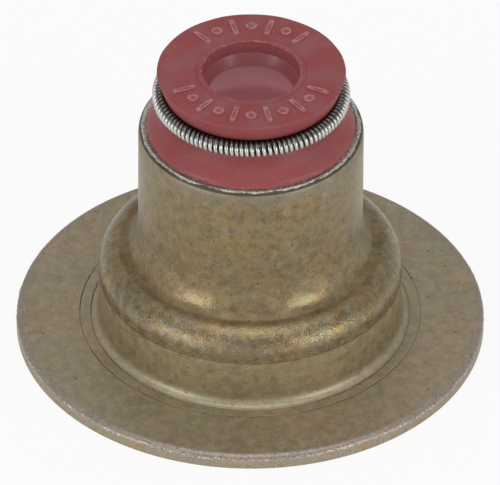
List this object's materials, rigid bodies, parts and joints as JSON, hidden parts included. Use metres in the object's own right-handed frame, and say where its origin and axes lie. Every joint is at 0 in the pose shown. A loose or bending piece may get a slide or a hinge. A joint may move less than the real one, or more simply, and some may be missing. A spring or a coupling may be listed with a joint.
{
  "type": "valve stem seal",
  "caption": "Valve stem seal with an integral spring seat: a pressed, flanged steel shell, a moulded rubber body with a sealing lip, and a garter spring in its groove.",
  "frame": {"origin": "centre of the flange's underside, on the valve's axis", "axes": "+Z along the valve's axis, from the flange towards the sealing lip; X and Y are alike, because the part is round"},
  "size_m": [0.03, 0.03, 0.0205],
  "materials": {
    "passivated_steel": "olive-yellow passivated plating on pressed steel, mottled, semi-bright",
    "seal_rubber": "dusty red moulded elastomer, matt",
    "spring_wire": "bright drawn spring wire"
  },
  "bodies": {
    "root": {"steel_shell": "passivated_steel", "seal_body": "seal_rubber", "garter_spring": "spring_wire"}
  },
  "joints": []
}
